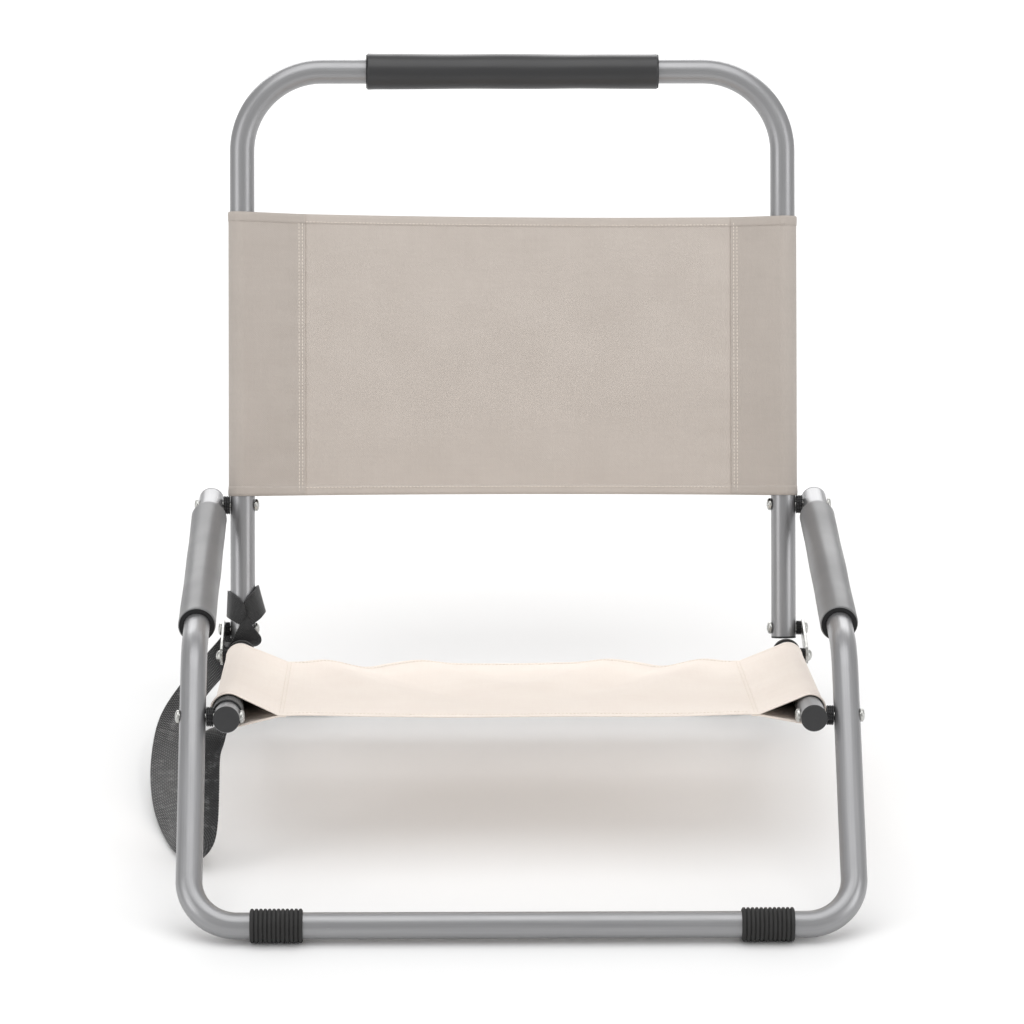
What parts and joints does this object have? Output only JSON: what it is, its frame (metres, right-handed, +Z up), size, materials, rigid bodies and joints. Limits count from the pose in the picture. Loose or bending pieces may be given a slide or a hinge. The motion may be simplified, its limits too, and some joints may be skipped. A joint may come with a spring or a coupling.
{
  "type": "folding camp chair",
  "caption": "Low folding camp chair: bent-tube front, back and seat frames, fabric back and slung seat, foam grips, flat links, rubber feet and a carry strap.",
  "frame": {"origin": "on the ground under the middle of the chair's bounding box, without the strap", "axes": "+Z up, -Y the way the sitter faces, +X to the right seen from the front"},
  "size_m": [0.5992, 0.6964, 0.5612],
  "materials": {
    "painted_tube": "silver-grey satin powder coat",
    "sleeve_foam": "smooth charcoal foam-rubber grip",
    "black_plastic": "moulded black plastic",
    "black_rubber": "matt ribbed rubber",
    "zinc_steel": "zinc-plated steel",
    "back_cloth": "greige plain-weave polyester",
    "seat_cloth": "cream plain-weave polyester",
    "strap_webbing": "black woven webbing"
  },
  "bodies": {
    "front_frame": {"front_frame_tube": "painted_tube", "arm_sleeve_left": "sleeve_foam", "arm_sleeve_right": "sleeve_foam", "arm_end_plug_left": "black_plastic", "arm_end_plug_right": "black_plastic", "front_foot_left": "black_rubber", "front_foot_right": "black_rubber", "arm_pivot_washer_left": "black_plastic", "arm_pivot_washer_right": "black_plastic", "arm_pivot_bolt_left": "zinc_steel", "arm_pivot_bolt_right": "zinc_steel", "arm_pivot_nut_left": "zinc_steel", "arm_pivot_nut_right": "zinc_steel", "seat_pivot_washer_left": "black_plastic", "seat_pivot_washer_right": "black_plastic", "seat_pivot_bolt_left": "zinc_steel", "seat_pivot_bolt_right": "zinc_steel", "seat_pivot_nut_left": "zinc_steel", "seat_pivot_nut_right": "zinc_steel", "strap_hanging": "strap_webbing"},
    "back_frame": {"back_frame_tube": "painted_tube", "handle_sleeve": "sleeve_foam", "back_fabric": "back_cloth", "upright_end_plug_left": "black_plastic", "upright_end_plug_right": "black_plastic", "link_upper_washer_left": "black_plastic", "link_upper_washer_right": "black_plastic", "link_bolt_left": "zinc_steel", "link_bolt_right": "zinc_steel", "link_nut_left": "zinc_steel", "link_nut_right": "zinc_steel", "strap_upright_loop": "strap_webbing"},
    "seat_frame": {"seat_frame_tube": "painted_tube", "seat_fabric": "seat_cloth", "rail_cap_left": "black_plastic", "rail_cap_right": "black_plastic", "rail_bumper_left": "black_rubber", "rail_bumper_right": "black_rubber", "link_lower_washer_left": "black_plastic", "link_lower_washer_right": "black_plastic", "rear_foot_left": "black_rubber", "rear_foot_right": "black_rubber", "strap_rail_loop": "strap_webbing"},
    "link_left": {"link_bar_left": "zinc_steel", "link_rivet_left": "zinc_steel"},
    "link_right": {"link_bar_right": "zinc_steel", "link_rivet_right": "zinc_steel"}
  },
  "joints": [
    {"name": "back_fold", "type": "hinge", "parent": "front_frame", "child": "back_frame", "pos_m": [0, 0.19073, 0.182], "axis": [-1, 0, 0], "range_deg": [0, 54]},
    {"name": "seat_fold", "type": "hinge", "parent": "front_frame", "child": "seat_frame", "pos_m": [0, -0.19717, 0.14055], "axis": [1, 0, 0], "range_deg": [0, 0.54]},
    {"name": "link_left_swing", "type": "hinge", "parent": "back_frame", "child": "link_left", "pos_m": [-0.26, 0.15034, 0.0784], "axis": [1, 0, 0], "range_deg": [0, 149.8]},
    {"name": "link_right_swing", "type": "hinge", "parent": "back_frame", "child": "link_right", "pos_m": [0.26, 0.15034, 0.0784], "axis": [1, 0, 0], "range_deg": [0, 149.8]}
  ],
  "couplings": [
    {"joint": "seat_fold", "follows": "back_fold", "ratio": 0.01},
    {"joint": "link_left_swing", "follows": "back_fold", "ratio": 2.7741},
    {"joint": "link_right_swing", "follows": "back_fold", "ratio": 2.7741}
  ]
}
